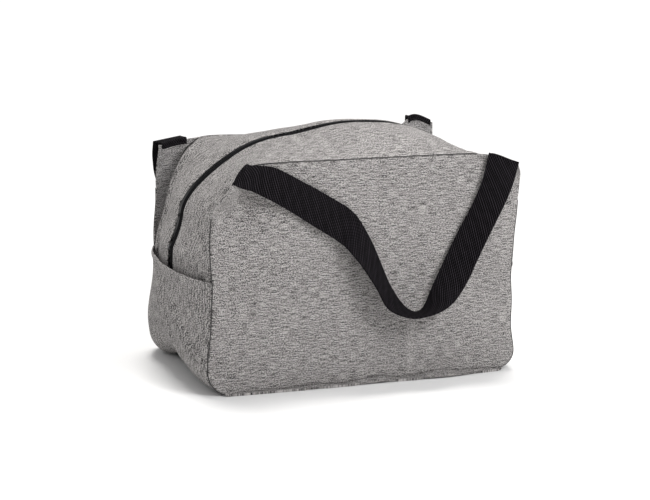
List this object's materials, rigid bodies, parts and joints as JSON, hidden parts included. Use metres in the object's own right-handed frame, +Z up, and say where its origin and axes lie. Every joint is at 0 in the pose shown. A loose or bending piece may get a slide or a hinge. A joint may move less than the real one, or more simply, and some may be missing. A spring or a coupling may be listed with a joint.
{
  "type": "knitting bag",
  "caption": "Boxy soft zip bag for knitting, with an arched zip top, a slip pocket at each end and webbing handles hung from corner wings.",
  "frame": {"origin": "middle of the flat base, on the surface the bag stands on", "axes": "+X along the bag's width, -Y towards the front panel, +Z up"},
  "size_m": [0.3914, 0.3046, 0.268],
  "materials": {
    "melange_cloth": "matt grey melange weave",
    "melange_facing": "matt grey melange weave, slightly darker",
    "seam_binding": "matt woven binding tape",
    "webbing": "black twill webbing, slight sheen",
    "zip_tape": "black woven zip tape",
    "zip_coil": "black nylon coil",
    "zip_metal": "black painted metal"
  },
  "bodies": {
    "root": {"bottom_panel": "melange_cloth", "front_panel_lower": "melange_cloth", "back_panel_lower": "melange_cloth", "left_side_gusset": "melange_cloth", "right_side_gusset": "melange_cloth", "left_side_pocket": "melange_cloth", "right_side_pocket": "melange_cloth", "front_seam_binding_lower": "seam_binding", "back_seam_binding_lower": "seam_binding", "zip_left_end": "zip_coil", "zip_right_end": "zip_coil", "zip_left_stop": "zip_metal", "zip_right_stop": "zip_metal", "gusset_strip_front_left_end": "melange_cloth", "gusset_strip_front_right_end": "melange_cloth", "gusset_strip_back_left_end": "melange_cloth", "gusset_strip_back_right_end": "melange_cloth"},
    "front_half": {"front_panel_upper": "melange_cloth", "front_left_wing_facing": "melange_facing", "front_right_wing_facing": "melange_facing", "front_seam_binding_upper": "seam_binding", "gusset_strip_front": "melange_cloth", "zip_tape_front": "zip_tape", "zip_coil_front": "zip_coil", "front_handle_left_end": "webbing", "front_handle_right_end": "webbing"},
    "back_half": {"back_panel_upper": "melange_cloth", "back_left_wing_facing": "melange_facing", "back_right_wing_facing": "melange_facing", "back_seam_binding_upper": "seam_binding", "gusset_strip_back": "melange_cloth", "zip_tape_back": "zip_tape", "zip_coil_back": "zip_coil", "back_handle_left_end": "webbing", "back_handle_right_end": "webbing"},
    "front_handle": {"front_handle": "webbing"},
    "back_handle": {"back_handle": "webbing"},
    "zip_slider": {"zip_slider": "zip_metal"},
    "zip_pull_tab": {"zip_pull_tab": "zip_metal"}
  },
  "joints": [
    {"name": "front_open", "type": "hinge", "parent": "root", "child": "front_half", "pos_m": [0, -0.115, 0.07], "axis": [1, 0, 0], "range_deg": [0, 20]},
    {"name": "back_open", "type": "hinge", "parent": "root", "child": "back_half", "pos_m": [0, 0.115, 0.07], "axis": [-1, 0, 0], "range_deg": [0, 20]},
    {"name": "front_handle_swing", "type": "hinge", "parent": "front_half", "child": "front_handle", "pos_m": [0, -0.119, 0.236], "axis": [-1, 0, 0], "range_deg": [0, 175]},
    {"name": "back_handle_swing", "type": "hinge", "parent": "back_half", "child": "back_handle", "pos_m": [0, 0.119, 0.236], "axis": [1, 0, 0], "range_deg": [0, 175]},
    {"name": "zip_slider_travel", "type": "hinge", "parent": "root", "child": "zip_slider", "pos_m": [0, 0, 0.0705], "axis": [0, -1, 0], "range_deg": [0, 132.43]},
    {"name": "pull_tab_flip", "type": "hinge", "parent": "zip_slider", "child": "zip_pull_tab", "pos_m": [0.18363, 0, 0.15125], "axis": [0, -1, 0], "range_deg": [0, 165]}
  ]
}
